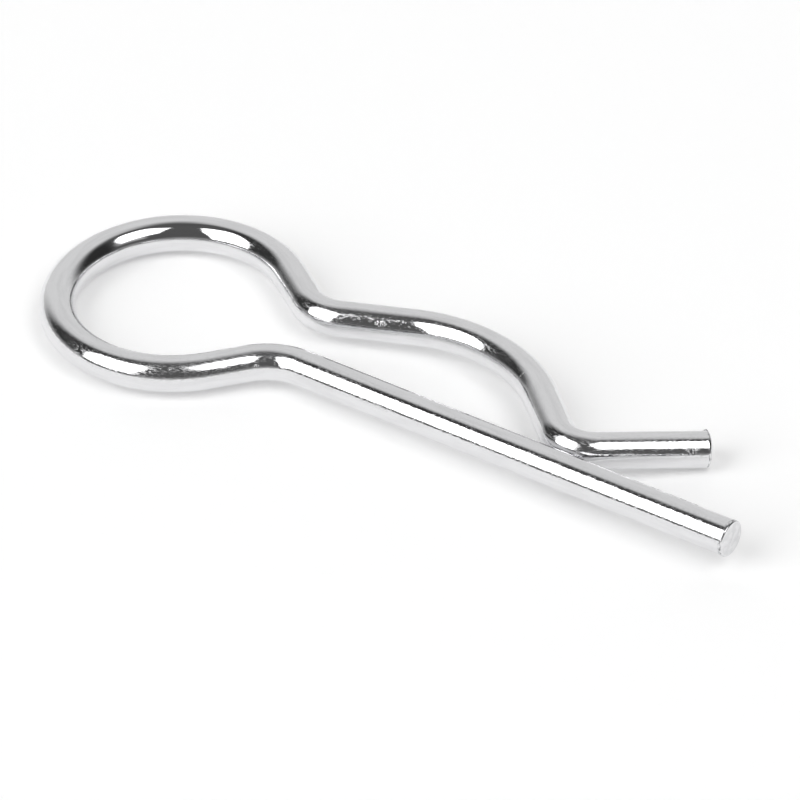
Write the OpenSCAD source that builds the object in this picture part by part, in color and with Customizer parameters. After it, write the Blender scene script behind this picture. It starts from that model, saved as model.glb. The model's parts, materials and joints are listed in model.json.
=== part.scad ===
// R-shaped hitch pin clip, cold-bent from one length of round spring wire.
// Its tail is bent down a little, so it lies on the back of the pull loop and the end of the tail.
// X runs from the pull loop to the tip of the straight leg, Y towards the sprung leg, Z up.
// The origin is on the surface it lies on, at half its length and under the centre line of the loop.

/* [Wire] */
// Diameter of the spring wire
wire_d = 3; // [2:0.1:4]
// How much thinner the wire is where it has been bent
bend_thinning = 0.02; // [0.01:0.01:0.1]
// Rounding of the rim at the tip of the straight leg
tip_rim_r = 0.15; // [0.05:0.05:0.6]
// Rounding of the rim at the end of the sprung leg
tail_rim_r = 0.35; // [0.05:0.05:0.6]

/* [Straight leg] */
// Length of the clip, from the back of the pull loop to the tip of the straight leg
clip_len = 65; // [56:0.5:90]
// Centreline radius of the bend from the straight leg into the loop
leg_bend_r = 5.35; // [3:0.05:8]

/* [Pull loop] */
// Inside diameter of the pull loop
loop_bore = 16.2; // [13:0.2:24]
// Height of the loop's centre above the axis of the straight leg
loop_rise = 1.8; // [0:0.1:4]
// Straight run between the straight leg's bend and the loop
loop_entry_run = 3.2; // [0.5:0.1:6]
// Straight run between the loop and the neck of the sprung leg
loop_exit_run = 3.9; // [0.5:0.1:6]

/* [Sprung leg] */
// Clear gap between the legs at the neck, where the shaft stops
neck_gap = 3.85; // [2:0.05:5.5]
// Centreline radius of the neck
neck_r = 3.7; // [3:0.1:8]
// Straight run from the neck up to the hump
rise_run = 6; // [1:0.1:10]
// Clear height under the crest of the hump, above the straight leg
hump_gap = 7.4; // [6.5:0.05:12]
// Centreline radius of the hump that grips the shaft
hump_r = 13.2; // [8:0.1:18]
// Straight run from the hump down to the pinch
drop_run = 4.8; // [1:0.05:8]
// Clear gap between the legs at the pinch
pinch_gap = 0.3; // [0.1:0.05:1.5]
// Centreline radius of the pinch
pinch_r = 2.8; // [2:0.1:8]
// Roll of the pinch about the run before it, which lowers the tail, in degrees
pinch_roll = 5.6; // [0:0.1:12]
// Slope of the lead-in tail against the straight leg, in degrees
tail_slope = 42; // [20:0.5:60]
// Length of the straight tail
tail_run = 9; // [3:0.05:14]

/* [Hidden] */
$fn = 96;
wire_r = wire_d / 2;
bent_r = (wire_d - bend_thinning) / 2;
loop_r = loop_bore / 2 + bent_r;

// Length by which a bend is let into the runs on either side of it
bend_lap = wire_d / 30;

// Heights of the sprung leg's centreline above the axis of the straight leg
loop_top = loop_rise + loop_r;
neck_height = wire_r + neck_gap + bent_r;
hump_height = wire_r + hump_gap + bent_r;
pinch_height = wire_r + pinch_gap + bent_r;

// Slope of the straight run in an S-bend that shifts the wire sideways by offset
function slope(offset, first_r, second_r, length) =
    let (both_r = first_r + second_r)
    acos((both_r - offset) / norm([both_r, length])) - atan2(length, both_r);

// Distance that an S-bend covers along the clip
function reach(first_r, second_r, length, angle) =
    (first_r + second_r) * sin(angle) + length * cos(angle);

entry_slope = slope(loop_r - loop_rise, leg_bend_r, loop_r, loop_entry_run);
exit_slope = slope(loop_top - neck_height, loop_r, neck_r, loop_exit_run);
rise_slope = slope(hump_height - neck_height, neck_r, hump_r, rise_run);
drop_slope = slope(hump_height - pinch_height, hump_r, pinch_r, drop_run);

// What the bend and the loop leave of the clip's length for the straight leg
entry_reach = reach(leg_bend_r, loop_r, loop_entry_run, entry_slope);
leg_run = clip_len - entry_reach - loop_r - bent_r;

// Where the rounded end of the tail is, from the middle of the wire at the back of the loop
pinch_turn = drop_slope + tail_slope;
tail_side = pinch_r * (1 - cos(pinch_turn)) + (tail_run - tail_rim_r) * sin(pinch_turn);
tail_drop = tail_side * sin(pinch_roll);
neck_reach = loop_r + reach(loop_r, neck_r, loop_exit_run, exit_slope);
hump_reach = reach(neck_r, hump_r, rise_run, rise_slope);
drop_reach = reach(hump_r, pinch_r, drop_run, drop_slope);
tail_reach = pinch_r * sin(tail_slope) + (tail_run - tail_rim_r) * cos(tail_slope);

// Angle at which the lowered tail holds the clip off the surface
lie_pitch = atan2(tail_drop, neck_reach + hump_reach + drop_reach + tail_reach);

// Rounds the outer corner of a run's profile
module corner_cut(rim_r) {
    difference() {
        square(2 * rim_r);
        circle(rim_r);
    }
}

// Half section of a straight run along Y, with a rounded rim where the wire was cut off
module run_profile(length, start_rim, end_rim) {
    difference() {
        square([wire_r, length]);
        if (start_rim > 0)
            translate([wire_r - start_rim, start_rim]) mirror([0, 1]) corner_cut(start_rim);
        if (end_rim > 0)
            translate([wire_r - end_rim, length - end_rim]) corner_cut(end_rim);
    }
}

// Straight wire along +X, with whatever follows placed at its end
module run(length, start_rim = 0, end_rim = 0) {
    rotate([0, 90, 0]) rotate_extrude() run_profile(length, start_rim, end_rim);
    translate([length, 0, 0]) children();
}

// Bent wire that leaves along +X and turns left by a positive angle, with whatever follows at its end
module bend(radius, turn) {
    side = sign(turn);
    lap = bend_lap / radius * 180 / PI;
    first = turn > 0 ? -90 : 90 + turn;
    translate([0, side * radius, 0]) {
        rotate([0, 0, first - lap]) rotate_extrude(angle = abs(turn) + 2 * lap)
            translate([radius, 0]) circle(bent_r);
        rotate([0, 0, turn]) translate([0, -side * radius, 0]) children();
    }
}

// The whole wire, bent in turn from the tip of the straight leg to the end of the tail
module clip_wire() {
    color("silver")
        translate([bent_r - clip_len / 2, 0, bent_r]) rotate([0, -lie_pitch, 0])
        translate([clip_len - bent_r, -loop_rise, 0]) rotate([0, 0, 180])
            run(leg_run, start_rim = tip_rim_r)
            bend(leg_bend_r, entry_slope)
            run(loop_entry_run)
            bend(loop_r, -(180 + entry_slope + exit_slope))
            run(loop_exit_run)
            bend(neck_r, exit_slope + rise_slope)
            run(rise_run)
            bend(hump_r, -(rise_slope + drop_slope))
            run(drop_run)
            rotate([-pinch_roll, 0, 0])
            bend(pinch_r, pinch_turn)
            run(tail_run, end_rim = tail_rim_r);
}

clip_wire();
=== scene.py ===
"""Bright plated R clip bent from one round wire, lying on a white studio floor."""

import json
import math

import bpy
from bpy.props import FloatProperty, FloatVectorProperty, IntProperty, PointerProperty
from mathutils import Matrix, Vector


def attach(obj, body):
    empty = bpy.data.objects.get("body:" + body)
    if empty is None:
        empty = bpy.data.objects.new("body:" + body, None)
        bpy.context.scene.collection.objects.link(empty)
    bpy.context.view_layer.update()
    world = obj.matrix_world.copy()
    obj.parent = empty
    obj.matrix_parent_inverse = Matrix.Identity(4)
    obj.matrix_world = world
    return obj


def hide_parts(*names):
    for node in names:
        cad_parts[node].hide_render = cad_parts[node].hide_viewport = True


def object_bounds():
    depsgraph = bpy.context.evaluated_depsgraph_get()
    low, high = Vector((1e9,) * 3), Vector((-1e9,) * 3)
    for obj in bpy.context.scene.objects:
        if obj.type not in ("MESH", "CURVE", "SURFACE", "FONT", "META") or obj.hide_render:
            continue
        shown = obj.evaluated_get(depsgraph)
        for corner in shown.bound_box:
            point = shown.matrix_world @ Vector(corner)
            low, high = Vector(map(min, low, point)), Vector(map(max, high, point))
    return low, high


bl_info = {
    "name": "Hitch R clip",
    "version": (1, 0, 0),
    "blender": (4, 5, 0),
    "location": "View3D > Sidebar > R clip",
    "description": "Bends and finishes a spring-wire R clip and sets it in a small studio",
    "category": "Object",
}

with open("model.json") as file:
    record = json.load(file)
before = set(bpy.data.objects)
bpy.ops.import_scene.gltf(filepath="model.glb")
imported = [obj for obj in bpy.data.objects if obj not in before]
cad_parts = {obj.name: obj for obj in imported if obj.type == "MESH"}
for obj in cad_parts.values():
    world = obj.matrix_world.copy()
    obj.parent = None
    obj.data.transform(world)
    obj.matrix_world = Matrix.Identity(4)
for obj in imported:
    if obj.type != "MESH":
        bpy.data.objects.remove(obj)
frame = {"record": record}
CAD_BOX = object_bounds()

NODE = "clip_wire"
BODY = "root"
MM = 0.001

MOUNTS = {mount["name"]: mount for mount in frame["record"]["mounts"]}
WIRE_RADIUS_MM = MOUNTS["straight_leg"]["dims"]["r_mm"]
BORE_RADIUS_MM = MOUNTS["pull_loop"]["dims"]["r_mm"]
CLIP_LENGTH_MM = (CAD_BOX[1][0] - CAD_BOX[0][0]) / MM

# Soft patches on the walls: level, softness in degrees, and (azimuth, elevation) corners in degrees
WALL_PATCHES = {
    "back_wall": (0.76, 30.0, ((75, -20), (75, 58), (88, 70), (160, 70), (169, 60), (172, -20))),
    "dark_right_back": (0.03, 14.0, ((16, 12), (60, 10), (60, 50), (48, 57), (36, 53), (24, 43),
                                     (16, 28))),
    "dark_left_back": (0.035, 14.0, ((183, 8), (228, 8), (222, 30), (214, 44), (208, 56), (204, 64),
                                     (180, 64))),
    "horizon": (0.75, 28.0, ((40, -40), (460, -40), (460, 3), (430, 3), (420, -1), (375, -1), (365, 3),
                             (70, 3), (60, -1), (40, -1))),
    "floor_end": (0.1, 5.0, ((226, -10), (272, -10), (272, 9), (226, 9))),
    "right_lamp_skirt": (0.6, 14.0, ((340, 27), (368, 27), (376, 40), (340, 44))),
}

# The two lamp panels: softness and corners in the same way
LAMP_PANELS = {
    "left_lamp": (3.0, ((228, 11), (268, 11), (270, 34), (272, 46), (267, 57), (261, 65), (250, 67),
                        (232, 65), (218, 62), (210, 57), (212, 47), (216, 39), (221, 30), (225, 20))),
    "right_lamp": (6.0, ((325, 45), (342, 40), (366, 33), (374, 41), (384, 50), (394, 58), (405, 65),
                         (390, 75), (370, 77), (340, 75), (311, 71), (320, 60))),
}

# Places rubbed in bending and handling: distance along the wire and half length in mm, turn round it in
# degrees from its outer side over the top, and half width in mm
RUB_MARKS = {
    "rise_run": (103.7, 0.6, 144.0, 0.3),
    "leg_bend": (44.5, 0.5, 28.0, 0.12),
    "loop_front": (51.0, 0.2, 48.0, 0.15),
    "hump_end": (118.8, 0.12, 128.0, 0.45),
    "tail_foot": (132.0, 1.2, 160.0, 0.3),
    "tail_end": (136.9, 0.7, 145.0, 0.35),
}

# Noise on the unbent wire: length of its spots along the wire, their width round it, and detail
PATCH_NOISE = (8.0 * MM, 2.0 * MM, 1.0)
SCRATCH_NOISE = (0.12 * MM, 0.3 * MM, 3.0)
STREAK_NOISE = (4.0 * MM, 0.5 * MM, 2.0)
FLECK_DETAIL = 1.0

# Values of the noise between which a mark goes from nothing to full
NOISE_MIDDLE = 0.5
FLECK_LIMITS = (0.44, 0.68)
SCRATCH_LIMITS = (0.5, 0.62)
STREAK_LIMITS = (0.35, 0.7)
MOTTLE_LIMITS = (0.3, 0.7)
# These limits break up the dark line of painted shade along the cut ends' rims
RIM_SHADE_LIMITS = (0.4, 0.6)

# How much the patches crowd the flecks, and the share of the flecks that calm plating keeps
PATCH_WEIGHT = 0.3
CALM_SHARE = 0.25

# Shares of the calm reach, of a rub mark's reach and of the wire's girth over which each of them ends
CALM_FADE = (0.5, 1.5)
RUB_FADE = (0.3, 1.0)
FACE_FADE = (0.85, 0.95)

# Rings over a cut end: shares of the face's radius, the turn between the rim's rings in degrees, and
# the power with which the rim mark, its matte and its painted shade line, fades towards the face
FACE_RINGS = (0.03, 0.25, 0.5, 0.75, 0.9)
RIM_STEP_DEG = 15
RIM_POWER = 4

# Mesh steps of walls and lamps in degrees, and how much further off than the lamps the walls are
WALL_STEP_DEG = 2.5
LAMP_STEP_DEG = 1.5
WALL_REACH = 1.1

# The camera's sensor in mm, and what it sees from and to in metres
SENSOR_MM = 36.0
NEAREST = 0.01
FARTHEST = 20.0


def length(label, about, default_mm):
    """A length in metres that is written in millimetres."""
    return FloatProperty(name=label, description=about, default=default_mm * MM, precision=5,
                         subtype="DISTANCE", unit="LENGTH")


def angle(label, about, default_deg):
    """An angle in radians that is written in degrees."""
    return FloatProperty(name=label, description=about, default=math.radians(default_deg),
                         subtype="ANGLE", unit="ROTATION")


def level(label, about, default, top=10.0):
    """A plain number such as a brightness or a roughness."""
    return FloatProperty(name=label, description=about, default=default, min=0.0, max=top)


class ClipSizes(bpy.types.PropertyGroup):
    """Driving sizes of the bent wire, as on the drawing."""

    wire_radius: length("Wire radius", "Half the wire's diameter", WIRE_RADIUS_MM)
    tip_rim: length("Tip rim", "Rounding of the straight leg's cut end", 0.15)
    tail_rim: length("Tail rim", "Rounding of the sprung leg's cut end", 0.35)
    end_dome: length("End dome", "How far a cut end bulges out", 0.05)
    clip_length: length("Clip length", "From the loop's back to the tip", CLIP_LENGTH_MM)
    leg_bend_radius: length("Leg bend", "Centreline radius of the bend into the loop", 5.35)
    bore_radius: length("Loop bore radius", "Inside radius of the pull loop", BORE_RADIUS_MM)
    loop_rise: length("Loop rise", "Loop centre above the straight leg's axis", 1.8)
    entry_run: length("Entry run", "Straight run between the leg's bend and the loop", 3.2)
    exit_run: length("Exit run", "Straight run between the loop and the neck", 3.9)
    neck_gap: length("Neck gap", "Clear gap between the legs at the neck", 3.85)
    neck_radius: length("Neck radius", "Centreline radius of the neck", 3.7)
    rise_run: length("Rise run", "Straight run from the neck to the hump", 6.0)
    hump_gap: length("Hump gap", "Clear height under the hump's crest", 7.4)
    hump_radius: length("Hump radius", "Centreline radius of the hump", 13.2)
    drop_run: length("Drop run", "Straight run from the hump to the pinch", 4.8)
    pinch_gap: length("Pinch gap", "Clear gap between the legs at the pinch", 0.3)
    pinch_radius: length("Pinch radius", "Centreline radius of the pinch", 2.8)
    pinch_roll: angle("Pinch roll", "Roll of the pinch that lowers the tail", 5.6)
    tail_slope: angle("Tail slope", "Slope of the tail against the straight leg", 42.0)
    tail_run: length("Tail run", "Length of the straight tail", 9.0)
    burr_height: length("Burr height", "Burr that the shears left on the tail's end", 0.14)
    burr_width: length("Burr width", "Half width of that burr", 0.25)
    burr_turn: angle("Burr turn", "Turn of the burr round the wire, from its outer side", 57.0)
    ring_step: length("Ring step", "Longest step between two rings of the mesh", 0.25)
    sides: IntProperty(name="Sides", description="Sides of the wire's round", default=72, min=12)


class ClipFinish(bpy.types.PropertyGroup):
    """The bright plating and its marks."""

    plating: FloatVectorProperty(name="Plating", description="Colour of the bright plating",
                                 default=(0.80, 0.80, 0.81, 1.0), size=4, subtype="COLOR")
    streak: FloatVectorProperty(name="Streak", description="Colour of faint streaks in the plating",
                                default=(0.75, 0.75, 0.76, 1.0), size=4, subtype="COLOR")
    cut_face: FloatVectorProperty(name="Cut face", description="Colour of the cut ends",
                                  default=(0.7, 0.7, 0.71, 1.0), size=4, subtype="COLOR")
    # A dark colour painted along the cut ends' sheared rims as shade
    rim_shade: FloatVectorProperty(name="Painted rim shade", description="Colour of the cut ends' sheared edges",
                                   default=(0.15, 0.15, 0.16, 1.0), size=4, subtype="COLOR")
    gloss_roughness: level("Gloss roughness", "Roughness of clean plating", 0.05, 1.0)
    matte_roughness: level("Matte roughness", "Roughness of the fine flecks in the plating", 0.255, 1.0)
    fleck_length: length("Fleck length", "Length of the flecks, along the wire", 0.26)
    fleck_width: length("Fleck width", "Width of the flecks, round the wire", 0.09)
    grain_depth: length("Grain depth", "Depth of the grain that the flecks make", 0.002)
    scratch_depth: length("Scratch depth", "Depth of the scratches in rubbed places", 0.015)
    calm_middle: length("Calm middle", "Place along the wire with the smoothest plating", 79.5)
    calm_reach: length("Calm reach", "How far the smooth plating reaches to either side", 9.0)


class StudioSetting(bpy.types.PropertyGroup):
    """Camera, floor and what stands round the clip."""

    azimuth: angle("Azimuth", "Camera's turn round the clip", 34.879)
    elevation: angle("Elevation", "Camera's height above the floor", 37.053)
    roll: angle("Roll", "Camera's roll", -0.19)
    distance: length("Distance", "Camera to the point it aims at", 682.9)
    aim: FloatVectorProperty(name="Aim", description="Point in the middle of the picture",
                             default=(0.000882, -0.000994, 0.002118), subtype="TRANSLATION", unit="LENGTH")
    lens: FloatProperty(name="Lens", description="Focal length in millimetres", default=391.28)
    studio_radius: length("Studio radius", "Distance to the lamps", 2000.0)
    floor_albedo: level("Floor albedo", "Diffuse colour of the floor", 0.9, 1.0)
    floor_lift: level("Floor lift", "Extra white of the floor where it is looked at", 0.21, 1.0)
    lamp_level: level("Lamp level", "Brightness of the two lamp panels", 3.0)
    wall_level: level("Wall level", "Brightness of the bare walls", 0.1)


# The wire's path

class WirePath:
    """Follows the wire as it is bent, and notes a point, a girth and a rim at every ring."""

    def __init__(self, sizes, place):
        self.sizes = sizes
        self.place = place
        self.points = []
        self.girths = []
        self.rims = []

    def ring(self, distance, girth=1.0, rim=0.0):
        """Notes a ring straight ahead of the wire's present end."""
        self.points.append(self.place @ Vector((distance, 0.0, 0.0)))
        self.girths.append(girth)
        self.rims.append(rim)

    def cut_end(self, rim):
        """Steps of (distance from the very end, girth, rim) over a slightly domed cut face and its rim."""
        radius = self.sizes.wire_radius
        face = radius - rim
        steps = []
        for part in FACE_RINGS:
            steps.append((self.sizes.end_dome * part ** 2, face * part / radius, 0.0))
        for turn in range(0, 91, RIM_STEP_DEG):
            swing = math.radians(turn)
            back = self.sizes.end_dome + rim * (1.0 - math.cos(swing))
            girth = (face + rim * math.sin(swing)) / radius
            steps.append((back, girth, math.sin(swing) ** RIM_POWER))
        return steps

    def run(self, distance, start_rim=0.0, end_rim=0.0):
        """Straight wire, with a cut end where a rim is given."""
        first = 0.0
        last = distance
        if start_rim:
            for back, girth, rim in self.cut_end(start_rim):
                self.ring(back, girth, rim)
            first = back
        if end_rim:
            closing = self.cut_end(end_rim)
            last = distance - closing[-1][0]
        count = math.ceil((last - first) / self.sizes.ring_step)
        for i in range(1, count + 1):
            self.ring(first + (last - first) * i / count)
        if end_rim:
            for back, girth, rim in reversed(closing[:-1]):
                self.ring(distance - back, girth, rim)
        self.place = self.place @ Matrix.Translation((distance, 0.0, 0.0))

    def bend(self, radius, turn):
        """Bent wire, to the left where the turn is positive."""
        centre = Vector((0.0, math.copysign(radius, turn), 0.0))
        start = self.place
        count = math.ceil(radius * abs(turn) / self.sizes.ring_step)
        for i in range(1, count + 1):
            swing = Matrix.Rotation(turn * i / count, 4, "Z")
            self.place = start @ Matrix.Translation(centre) @ swing @ Matrix.Translation(-centre)
            self.ring(0.0)

    def roll(self, turn):
        """Rolls the plane of the bends that follow about the wire."""
        self.place = self.place @ Matrix.Rotation(turn, 4, "X")


def s_bend_slope(offset, first_radius, second_radius, run):
    """Slope of the straight run in an S-bend that shifts the wire sideways by offset."""
    both = first_radius + second_radius
    return math.acos((both - offset) / math.hypot(both, run)) - math.atan2(run, both)


def s_bend_reach(first_radius, second_radius, run, slope):
    """Distance that an S-bend covers along the clip."""
    return (first_radius + second_radius) * math.sin(slope) + run * math.cos(slope)


def bent_path(sizes):
    """The whole wire, from the tip of the straight leg to the end of the tail."""
    wire = sizes.wire_radius
    loop = sizes.bore_radius + wire
    neck = 2.0 * wire + sizes.neck_gap
    hump = 2.0 * wire + sizes.hump_gap
    pinch = 2.0 * wire + sizes.pinch_gap
    entry = s_bend_slope(loop - sizes.loop_rise, sizes.leg_bend_radius, loop, sizes.entry_run)
    out = s_bend_slope(sizes.loop_rise + loop - neck, loop, sizes.neck_radius, sizes.exit_run)
    rise = s_bend_slope(hump - neck, sizes.neck_radius, sizes.hump_radius, sizes.rise_run)
    drop = s_bend_slope(hump - pinch, sizes.hump_radius, sizes.pinch_radius, sizes.drop_run)
    entry_reach = s_bend_reach(sizes.leg_bend_radius, loop, sizes.entry_run, entry)
    leg = sizes.clip_length - entry_reach - loop - wire
    pinch_turn = drop + sizes.tail_slope

    # The lowered tail's end and the loop's back both touch the floor
    tail = sizes.tail_run - sizes.tail_rim
    tail_side = sizes.pinch_radius * (1.0 - math.cos(pinch_turn)) + tail * math.sin(pinch_turn)
    tail_drop = tail_side * math.sin(sizes.pinch_roll)
    tail_reach = loop + s_bend_reach(loop, sizes.neck_radius, sizes.exit_run, out)
    tail_reach += s_bend_reach(sizes.neck_radius, sizes.hump_radius, sizes.rise_run, rise)
    tail_reach += s_bend_reach(sizes.hump_radius, sizes.pinch_radius, sizes.drop_run, drop)
    tail_reach += sizes.pinch_radius * math.sin(sizes.tail_slope) + tail * math.cos(sizes.tail_slope)
    loop_back = Matrix.Translation((wire - sizes.clip_length / 2.0, 0.0, wire))
    pitch = Matrix.Rotation(-math.atan2(tail_drop, tail_reach), 4, "Y")
    tip = Matrix.Translation((sizes.clip_length - wire, -sizes.loop_rise, 0.0))

    path = WirePath(sizes, loop_back @ pitch @ tip @ Matrix.Rotation(math.pi, 4, "Z"))
    path.run(leg, start_rim=sizes.tip_rim)
    path.bend(sizes.leg_bend_radius, entry)
    path.run(sizes.entry_run)
    path.bend(loop, -(math.pi + entry + out))
    path.run(sizes.exit_run)
    path.bend(sizes.neck_radius, out + rise)
    path.run(sizes.rise_run)
    path.bend(sizes.hump_radius, -(rise + drop))
    path.run(sizes.drop_run)
    path.roll(-sizes.pinch_roll)
    path.bend(sizes.pinch_radius, pinch_turn)
    path.run(sizes.tail_run, end_rim=sizes.tail_rim)
    return path


# Node helpers

class NodeBench:
    """Adds nodes to a tree and joins their sockets."""

    def __init__(self, tree):
        self.tree = tree

    def add(self, kind, values=None, **settings):
        """A new node with its settings and the values of its unlinked inputs."""
        node = self.tree.nodes.new(kind)
        for name, value in settings.items():
            setattr(node, name, value)
        for name, value in (values or {}).items():
            node.inputs[name].default_value = value
        return node

    def join(self, source, target):
        """Links an output to an input."""
        self.tree.links.new(source, target)

    def math(self, operation, *terms):
        """A math node over sockets and plain numbers."""
        node = self.add("ShaderNodeMath", operation=operation)
        for socket, term in zip(node.inputs, terms):
            if isinstance(term, (int, float)):
                socket.default_value = term
            else:
                self.join(term, socket)
        return node.outputs["Value"]

    def spread(self, value, limits, first=0.0, last=1.0):
        """A value that goes smoothly from first to last between two limits, and is held outside them."""
        ranges = {"From Min": limits[0], "From Max": limits[1], "To Min": first, "To Max": last}
        node = self.add("ShaderNodeMapRange", ranges, interpolation_type="SMOOTHSTEP")
        self.join(value, node.inputs["Value"])
        return node.outputs["Result"]


# Geometry nodes

def round_wire_tree():
    """A node tree that draws a round wire along a chain of edges, thick as its girth says."""
    tree = bpy.data.node_groups.new("Round wire", "GeometryNodeTree")
    sockets = {}
    inputs = (("Chain", "Geometry"), ("Wire radius", "Float"), ("Sides", "Int"), ("Finish", "Material"))
    for name, kind in inputs:
        sockets[name] = tree.interface.new_socket(name, in_out="INPUT", socket_type="NodeSocket" + kind)
    tree.interface.new_socket("Wire", in_out="OUTPUT", socket_type="NodeSocketGeometry")
    bench = NodeBench(tree)
    join = bench.join

    given = bench.add("NodeGroupInput")
    curve = bench.add("GeometryNodeMeshToCurve")
    upright = bench.add("GeometryNodeSetCurveNormal", mode="Z_UP")
    along = bench.add("GeometryNodeCaptureAttribute")
    along.capture_items.new("FLOAT", "Along")
    spline = bench.add("GeometryNodeSplineParameter")
    circle = bench.add("GeometryNodeCurvePrimitiveCircle")
    section = bench.add("GeometryNodeCaptureAttribute")
    section.capture_items.new("VECTOR", "Section")
    place = bench.add("GeometryNodeInputPosition")
    girth = bench.add("GeometryNodeInputNamedAttribute", {"Name": "girth"})
    sweep = bench.add("GeometryNodeCurveToMesh", {"Fill Caps": True})
    shrunk = bench.add("ShaderNodeVectorMath", operation="SCALE")
    parts = bench.add("ShaderNodeSeparateXYZ")
    unbent = bench.add("ShaderNodeCombineXYZ")
    store = bench.add("GeometryNodeStoreNamedAttribute", {"Name": "unbent"},
                      data_type="FLOAT_VECTOR", domain="POINT")
    smooth = bench.add("GeometryNodeSetShadeSmooth")
    realize = bench.add("GeometryNodeRealizeInstances")
    finish = bench.add("GeometryNodeSetMaterial")
    result = bench.add("NodeGroupOutput")

    join(given.outputs["Chain"], curve.inputs["Mesh"])
    join(curve.outputs["Curve"], upright.inputs["Curve"])
    join(upright.outputs["Curve"], along.inputs["Geometry"])
    join(spline.outputs["Length"], along.inputs["Along"])
    join(given.outputs["Sides"], circle.inputs["Resolution"])
    join(given.outputs["Wire radius"], circle.inputs["Radius"])
    join(circle.outputs["Curve"], section.inputs["Geometry"])
    join(place.outputs["Position"], section.inputs["Section"])
    join(along.outputs["Geometry"], sweep.inputs["Curve"])
    join(section.outputs["Geometry"], sweep.inputs["Profile Curve"])
    join(girth.outputs["Attribute"], sweep.inputs["Scale"])
    join(section.outputs["Section"], shrunk.inputs["Vector"])
    join(girth.outputs["Attribute"], shrunk.inputs["Scale"])
    join(shrunk.outputs["Vector"], parts.inputs["Vector"])
    join(along.outputs["Along"], unbent.inputs["X"])
    join(parts.outputs["X"], unbent.inputs["Y"])
    join(parts.outputs["Y"], unbent.inputs["Z"])
    join(sweep.outputs["Mesh"], store.inputs["Geometry"])
    join(unbent.outputs["Vector"], store.inputs["Value"])
    join(store.outputs["Geometry"], smooth.inputs["Geometry"])
    join(smooth.outputs["Geometry"], realize.inputs["Geometry"])
    join(realize.outputs["Geometry"], finish.inputs["Geometry"])
    join(given.outputs["Finish"], finish.inputs["Material"])
    join(finish.outputs["Geometry"], result.inputs["Wire"])
    return tree, sockets


def drawn_wire(path, sizes, material):
    """A plain mesh object of the wire along the path."""
    chain = bpy.data.meshes.new("wire_chain")
    count = len(path.points)
    chain.from_pydata(path.points, [(i, i + 1) for i in range(count - 1)], [])
    for name, values in (("girth", path.girths), ("rim", path.rims)):
        chain.attributes.new(name, "FLOAT", "POINT").data.foreach_set("value", values)
    source = bpy.data.objects.new("wire_chain", chain)
    bpy.context.scene.collection.objects.link(source)
    tree, sockets = round_wire_tree()
    modifier = source.modifiers.new("Round wire", "NODES")
    modifier.node_group = tree
    modifier[sockets["Wire radius"].identifier] = sizes.wire_radius
    modifier[sockets["Sides"].identifier] = sizes.sides
    modifier[sockets["Finish"].identifier] = material
    graph = bpy.context.evaluated_depsgraph_get()
    solid = bpy.data.meshes.new_from_object(source.evaluated_get(graph), preserve_all_data_layers=True,
                                            depsgraph=graph)
    source.modifiers.clear()
    bpy.data.objects.remove(source)
    bpy.data.meshes.remove(chain)
    if not solid.polygons:
        raise RuntimeError("the wire came out empty")
    piece = bpy.data.objects.new("bright_wire", solid)
    bpy.context.scene.collection.objects.link(piece)
    return piece


def eased(share):
    """A share from 0 to 1 that starts and ends gently."""
    return share * share * (3.0 - 2.0 * share)


def round_place(along, radius, turn):
    """A place on the unbent wire, by its distance along the wire and its turn round it."""
    return Vector((along, -radius * math.cos(turn), -radius * math.sin(turn)))


def raise_burr(piece, sizes):
    """Pushes out the burr that the shears left on the tail's end."""
    mesh = piece.data
    places = [Vector(item.vector) for item in mesh.attributes["unbent"].data]
    end = max(place.x for place in places)
    crest = round_place(end - sizes.tail_rim, sizes.wire_radius, sizes.burr_turn)
    moves = []
    for vertex, place in zip(mesh.vertices, places):
        share = max(0.0, 1.0 - (place - crest).length / sizes.burr_width)
        moves.append(vertex.normal * sizes.burr_height * eased(share))
    for vertex, move in zip(mesh.vertices, moves):
        vertex.co += move


# Finish of the wire

def rub_mark_group():
    """A mask that is 1 in the middle of a rubbed place on the wire and fades to nothing at its edge."""
    tree = bpy.data.node_groups.new("Rub mark", "ShaderNodeTree")
    for name in ("Place", "Middle", "Reach"):
        tree.interface.new_socket(name, in_out="INPUT", socket_type="NodeSocketVector")
    tree.interface.new_socket("Mask", in_out="OUTPUT", socket_type="NodeSocketFloat")
    bench = NodeBench(tree)
    given = bench.add("NodeGroupInput")
    offset = bench.add("ShaderNodeVectorMath", operation="SUBTRACT")
    share = bench.add("ShaderNodeVectorMath", operation="DIVIDE")
    distance = bench.add("ShaderNodeVectorMath", operation="LENGTH")
    result = bench.add("NodeGroupOutput")
    bench.join(given.outputs["Place"], offset.inputs[0])
    bench.join(given.outputs["Middle"], offset.inputs[1])
    bench.join(offset.outputs["Vector"], share.inputs[0])
    bench.join(given.outputs["Reach"], share.inputs[1])
    bench.join(share.outputs["Vector"], distance.inputs[0])
    mask = bench.spread(distance.outputs["Value"], RUB_FADE, first=1.0, last=0.0)
    bench.join(mask, result.inputs["Mask"])
    return tree


def wire_noise(bench, place, along, around, detail):
    """Noise on the unbent wire, with the size of its spots along the wire and round it."""
    stretch = bench.add("ShaderNodeMapping", {"Scale": (1.0 / along, 1.0 / around, 1.0 / around)})
    noise = bench.add("ShaderNodeTexNoise", {"Scale": 1.0, "Detail": detail})
    bench.join(place, stretch.inputs["Vector"])
    bench.join(stretch.outputs["Vector"], noise.inputs["Vector"])
    return noise.outputs["Fac"]


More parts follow.
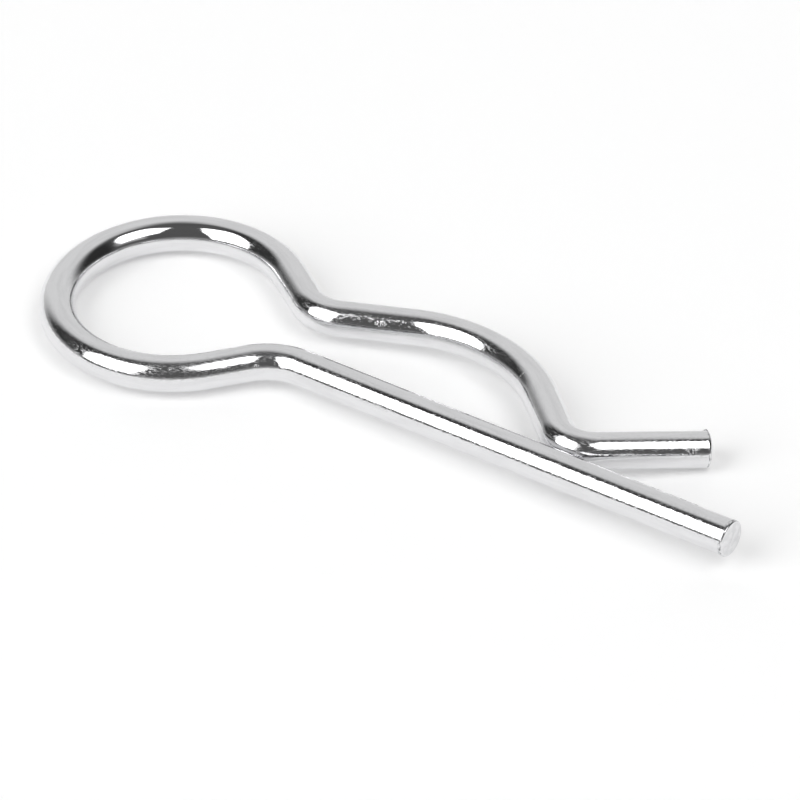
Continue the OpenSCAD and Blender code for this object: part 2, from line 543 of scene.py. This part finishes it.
def rubbed_places(bench, place, radius):
    """The masks of all the rubbed places together."""
    tree = rub_mark_group()
    masks = []
    for along, half_length, turn, half_width in RUB_MARKS.values():
        middle = round_place(along * MM, radius, math.radians(turn))
        reach = (half_length * MM, half_width * MM, half_width * MM)
        mark = bench.add("ShaderNodeGroup", node_tree=tree)
        mark.inputs["Middle"].default_value = middle
        mark.inputs["Reach"].default_value = reach
        bench.join(place, mark.inputs["Place"])
        masks.append(mark.outputs["Mask"])
    total = masks[0]
    for mask in masks[1:]:
        total = bench.math("MAXIMUM", total, mask)
    return total


def plated_steel(finish, sizes):
    """Bright plating over drawn spring wire, finely flecked, with rubbed places and a dark line of painted
    shade along the sheared rims.
    """
    material = bpy.data.materials.new("plated_steel")
    material.use_nodes = True
    bench = NodeBench(material.node_tree)
    shader = material.node_tree.nodes["Principled BSDF"]
    shader.inputs["Metallic"].default_value = 1.0
    place = bench.add("ShaderNodeAttribute", attribute_name="unbent").outputs["Vector"]
    rim = bench.add("ShaderNodeAttribute", attribute_name="rim").outputs["Fac"]
    girth = bench.add("ShaderNodeAttribute", attribute_name="girth").outputs["Fac"]
    cut = bench.spread(girth, FACE_FADE, first=1.0, last=0.0)

    flecks = wire_noise(bench, place, finish.fleck_length, finish.fleck_width, FLECK_DETAIL)
    patches = wire_noise(bench, place, *PATCH_NOISE)
    scratches = wire_noise(bench, place, *SCRATCH_NOISE)
    streaks = wire_noise(bench, place, *STREAK_NOISE)
    rubbed = rubbed_places(bench, place, sizes.wire_radius)

    # Matte flecks, fewer where the plating is calm
    along = bench.add("ShaderNodeSeparateXYZ")
    bench.join(place, along.inputs["Vector"])
    from_calm = bench.math("ABSOLUTE", bench.math("SUBTRACT", along.outputs["X"], finish.calm_middle))
    busy = bench.spread(from_calm, [part * finish.calm_reach for part in CALM_FADE], first=CALM_SHARE)
    patch_lead = bench.math("SUBTRACT", patches, NOISE_MIDDLE)
    crowded = bench.math("MULTIPLY_ADD", patch_lead, PATCH_WEIGHT, flecks)
    flecked = bench.math("MULTIPLY", bench.spread(crowded, FLECK_LIMITS), busy)
    scratched = bench.math("MULTIPLY", rubbed, bench.spread(scratches, SCRATCH_LIMITS))
    worn = bench.math("MAXIMUM", flecked, scratched)
    matte = bench.math("MAXIMUM", worn, bench.math("MAXIMUM", rim, cut))
    roughness = bench.spread(matte, (0.0, 1.0), finish.gloss_roughness, finish.matte_roughness)
    bench.join(roughness, shader.inputs["Roughness"])

    # Grain and scratches in relief
    grain = bench.math("MULTIPLY", flecks, busy)
    relief = bench.math("MULTIPLY_ADD", scratched, finish.scratch_depth / finish.grain_depth, grain)
    bump = bench.add("ShaderNodeBump", {"Strength": 1.0, "Distance": finish.grain_depth})
    bench.join(relief, bump.inputs["Height"])
    bench.join(bump.outputs["Normal"], shader.inputs["Normal"])

    # Faint streaks, darker mottled metal on the cut faces, and a dark line of painted shade along their
    # sheared rims
    tone = bench.add("ShaderNodeMix", data_type="RGBA")
    tone.inputs["A"].default_value = finish.plating
    tone.inputs["B"].default_value = finish.streak
    bench.join(bench.spread(streaks, STREAK_LIMITS), tone.inputs["Factor"])
    face = bench.add("ShaderNodeMix", data_type="RGBA")
    face.inputs["B"].default_value = finish.cut_face
    mottled = bench.math("MULTIPLY", cut, bench.spread(streaks, MOTTLE_LIMITS))
    bench.join(mottled, face.inputs["Factor"])
    bench.join(tone.outputs["Result"], face.inputs["A"])
    # Painted shade: a dark line along the cut ends' rims, broken up by the scratch noise
    edge = bench.add("ShaderNodeMix", data_type="RGBA")
    edge.inputs["B"].default_value = finish.rim_shade
    rim_shaded = bench.math("MULTIPLY", rim, bench.spread(scratches, RIM_SHADE_LIMITS))
    bench.join(rim_shaded, edge.inputs["Factor"])
    bench.join(face.outputs["Result"], edge.inputs["A"])
    bench.join(edge.outputs["Result"], shader.inputs["Base Color"])
    return material


# The studio

def direction(azimuth, elevation):
    """Unit vector towards an azimuth (from +X, counter-clockwise) and elevation, in degrees."""
    turn = math.radians(azimuth)
    climb = math.radians(elevation)
    return Vector((math.cos(turn) * math.cos(climb), math.sin(turn) * math.cos(climb), math.sin(climb)))


def depth_inside(outline, azimuth, elevation):
    """Distance from an outline's edge in degrees, positive inside it."""
    here = Vector((azimuth, elevation))
    inside = False
    nearest = math.inf
    for i, corner in enumerate(outline):
        start = Vector(outline[i - 1])
        side = Vector(corner) - start
        share = min(max((here - start).dot(side) / side.length_squared, 0.0), 1.0)
        nearest = min(nearest, (here - start - side * share).length)
        if (start.y > elevation) != (start.y + side.y > elevation):
            crossing = start.x + side.x * (elevation - start.y) / side.y
            inside = inside != (azimuth < crossing)
    return nearest if inside else -nearest


def soft_share(outline, softness, azimuth, elevation):
    """How much a soft-edged outline covers a direction, from 0 outside it to 1 well inside."""
    first_turn = depth_inside(outline, azimuth, elevation)
    second_turn = depth_inside(outline, azimuth + 360.0, elevation)
    depth = max(first_turn, second_turn)
    return eased(min(max(depth / softness + 0.5, 0.0), 1.0))


def looked_at(bench):
    """A value that is 1 for what the camera sees, directly, in metal or through glass."""
    path = bench.add("ShaderNodeLightPath")
    seen = bench.math("MAXIMUM", path.outputs["Is Camera Ray"], path.outputs["Is Glossy Ray"])
    return bench.math("MAXIMUM", seen, path.outputs["Is Transmission Ray"])


def empty_material(name):
    """A material with nothing but its output, and the bench to fill it."""
    material = bpy.data.materials.new(name)
    material.use_nodes = True
    material.node_tree.nodes.clear()
    bench = NodeBench(material.node_tree)
    return material, bench, bench.add("ShaderNodeOutputMaterial").inputs["Surface"]


def floor_paint(studio):
    """White floor that stays white in the picture and keeps its shadows."""
    material, bench, surface = empty_material("white_floor")
    albedo = studio.floor_albedo
    paint = bench.add("ShaderNodeBsdfDiffuse", {"Color": (albedo, albedo, albedo, 1.0)})
    glow = bench.add("ShaderNodeEmission")
    both = bench.add("ShaderNodeAddShader")
    bench.join(bench.math("MULTIPLY", looked_at(bench), studio.floor_lift), glow.inputs["Strength"])
    bench.join(paint.outputs["BSDF"], both.inputs[0])
    bench.join(glow.outputs["Emission"], both.inputs[1])
    bench.join(both.outputs["Shader"], surface)
    return material


def wall_paint():
    """Walls that are as bright as their glow attribute says."""
    material, bench, surface = empty_material("studio_walls")
    glow = bench.add("ShaderNodeAttribute", attribute_name="glow")
    light = bench.add("ShaderNodeEmission")
    bench.join(glow.outputs["Fac"], light.inputs["Strength"])
    bench.join(light.outputs["Emission"], surface)
    return material


def lamp_cloth(studio):
    """Evenly lit lamp cloth that fades out where its glow attribute falls to nothing."""
    material, bench, surface = empty_material("lamp_cloth")
    glow = bench.add("ShaderNodeAttribute", attribute_name="glow")
    light = bench.add("ShaderNodeEmission", {"Strength": studio.lamp_level})
    clear = bench.add("ShaderNodeBsdfTransparent")
    fade = bench.add("ShaderNodeMixShader")
    bench.join(glow.outputs["Fac"], fade.inputs["Fac"])
    bench.join(clear.outputs["BSDF"], fade.inputs[1])
    bench.join(light.outputs["Emission"], fade.inputs[2])
    bench.join(fade.outputs["Shader"], surface)
    return material


def stage_object(name, points, faces, material):
    """A mesh for the studio round the clip, linked into the scene."""
    mesh = bpy.data.meshes.new(name)
    mesh.from_pydata(points, [], faces)
    mesh.materials.append(material)
    thing = bpy.data.objects.new(name, mesh)
    bpy.context.scene.collection.objects.link(thing)
    return thing


def sky_panel(name, low, high, step, radius, glow_at, material):
    """A panel that curves round the clip between two (azimuth, elevation) corners, unseen by the camera."""
    columns = math.ceil((high[0] - low[0]) / step)
    rows = math.ceil((high[1] - low[1]) / step)
    points = []
    glows = []
    for row in range(rows + 1):
        elevation = low[1] + (high[1] - low[1]) * row / rows
        for column in range(columns + 1):
            azimuth = low[0] + (high[0] - low[0]) * column / columns
            points.append(direction(azimuth, elevation) * radius)
            glows.append(glow_at(azimuth, elevation))
    faces = []
    for row in range(rows):
        for column in range(columns):
            first = row * (columns + 1) + column
            corners = (first, first + 1, first + columns + 2, first + columns + 1)
            if max(glows[i] for i in corners) > 0.0:
                faces.append(corners)
    panel = stage_object(name, points, faces, material)
    panel.data.attributes.new("glow", "FLOAT", "POINT").data.foreach_set("value", glows)
    panel.visible_camera = False


def studio_walls(studio):
    """The dim room all round, with its soft patches of light and dark."""
    def wall_glow(azimuth, elevation):
        glow = studio.wall_level
        for patch_level, softness, outline in WALL_PATCHES.values():
            share = soft_share(outline, softness, azimuth, elevation)
            glow += (patch_level - glow) * share
        return glow

    radius = studio.studio_radius * WALL_REACH
    sky_panel("studio_walls", (0.0, 0.0), (360.0, 90.0), WALL_STEP_DEG, radius, wall_glow, wall_paint())


def studio_lamps(studio):
    """The two lamp panels, in front of the walls."""
    cloth = lamp_cloth(studio)
    for name, (softness, outline) in LAMP_PANELS.items():
        azimuths = [corner[0] for corner in outline]
        elevations = [corner[1] for corner in outline]
        low = (min(azimuths) - softness, min(elevations) - softness)
        high = (max(azimuths) + softness, max(elevations) + softness)

        def lamp_glow(azimuth, elevation):
            return soft_share(outline, softness, azimuth, elevation)

        sky_panel(name, low, high, LAMP_STEP_DEG, studio.studio_radius, lamp_glow, cloth)


def white_world():
    """A white surround for what is looked at."""
    world = bpy.data.worlds.new("white_surround")
    world.use_nodes = True
    bench = NodeBench(world.node_tree)
    sky = world.node_tree.nodes["Background"]
    sky.inputs["Color"].default_value = (1.0, 1.0, 1.0, 1.0)
    bench.join(looked_at(bench), sky.inputs["Strength"])
    bpy.context.scene.world = world


def set_camera(studio):
    """The photograph's view of the clip."""
    turn = studio.azimuth
    climb = studio.elevation
    back = Vector((math.sin(turn) * math.cos(climb), -math.cos(turn) * math.cos(climb), math.sin(climb)))
    level_right = Vector((math.cos(turn), math.sin(turn), 0.0))
    level_up = back.cross(level_right)
    right = level_right * math.cos(studio.roll) + level_up * math.sin(studio.roll)
    up = back.cross(right)
    data = bpy.data.cameras.new("camera")
    data.sensor_width = SENSOR_MM
    data.lens = studio.lens
    data.clip_start = NEAREST
    data.clip_end = FARTHEST
    camera = bpy.data.objects.new("camera", data)
    axes = Matrix((right, up, back)).transposed().to_4x4()
    camera.matrix_world = Matrix.Translation(Vector(studio.aim) + back * studio.distance) @ axes
    bpy.context.scene.collection.objects.link(camera)
    bpy.context.scene.camera = camera


# Operators and panel

class RCLIP_OT_wire(bpy.types.Operator):
    """Bends the wire, plates it and puts it in place of the CAD solid"""

    bl_idname = "rclip.wire"
    bl_label = "Bend the wire"

    def execute(self, context):
        sizes = context.scene.rclip_sizes
        piece = drawn_wire(bent_path(sizes), sizes, plated_steel(context.scene.rclip_finish, sizes))
        raise_burr(piece, sizes)
        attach(piece, BODY)
        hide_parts(NODE)
        return {"FINISHED"}


class RCLIP_OT_stage(bpy.types.Operator):
    """Sets the floor, the walls, the lamps and the camera"""

    bl_idname = "rclip.stage"
    bl_label = "Set the studio"

    def execute(self, context):
        studio = context.scene.rclip_studio
        reach = studio.studio_radius * WALL_REACH
        corners = [(-reach, -reach, 0.0), (reach, -reach, 0.0), (reach, reach, 0.0), (-reach, reach, 0.0)]
        stage_object("floor", corners, [(0, 1, 2, 3)], floor_paint(studio))
        studio_walls(studio)
        studio_lamps(studio)
        white_world()
        set_camera(studio)
        context.scene.view_settings.view_transform = "Standard"
        return {"FINISHED"}


class RCLIP_PT_panel(bpy.types.Panel):
    """Sizes, finish and studio of the clip"""

    bl_idname = "RCLIP_PT_panel"
    bl_label = "R clip"
    bl_space_type = "VIEW_3D"
    bl_region_type = "UI"
    bl_category = "R clip"

    def draw(self, context):
        layout = self.layout
        for group in (context.scene.rclip_sizes, context.scene.rclip_finish, context.scene.rclip_studio):
            box = layout.box()
            for name in group.__annotations__:
                box.prop(group, name)
        layout.operator(RCLIP_OT_wire.bl_idname)
        layout.operator(RCLIP_OT_stage.bl_idname)


CLASSES = (ClipSizes, ClipFinish, StudioSetting, RCLIP_OT_wire, RCLIP_OT_stage, RCLIP_PT_panel)


def register():
    """Adds the classes and their settings to Blender."""
    for cls in CLASSES:
        bpy.utils.register_class(cls)
    bpy.types.Scene.rclip_sizes = PointerProperty(type=ClipSizes)
    bpy.types.Scene.rclip_finish = PointerProperty(type=ClipFinish)
    bpy.types.Scene.rclip_studio = PointerProperty(type=StudioSetting)


def unregister():
    """Takes the classes and their settings away again."""
    del bpy.types.Scene.rclip_studio
    del bpy.types.Scene.rclip_finish
    del bpy.types.Scene.rclip_sizes
    for cls in reversed(CLASSES):
        bpy.utils.unregister_class(cls)


def main():
    """Makes the clip and its studio."""
    register()
    bpy.ops.rclip.wire()
    bpy.ops.rclip.stage()


if __name__ == "__main__":
    main()
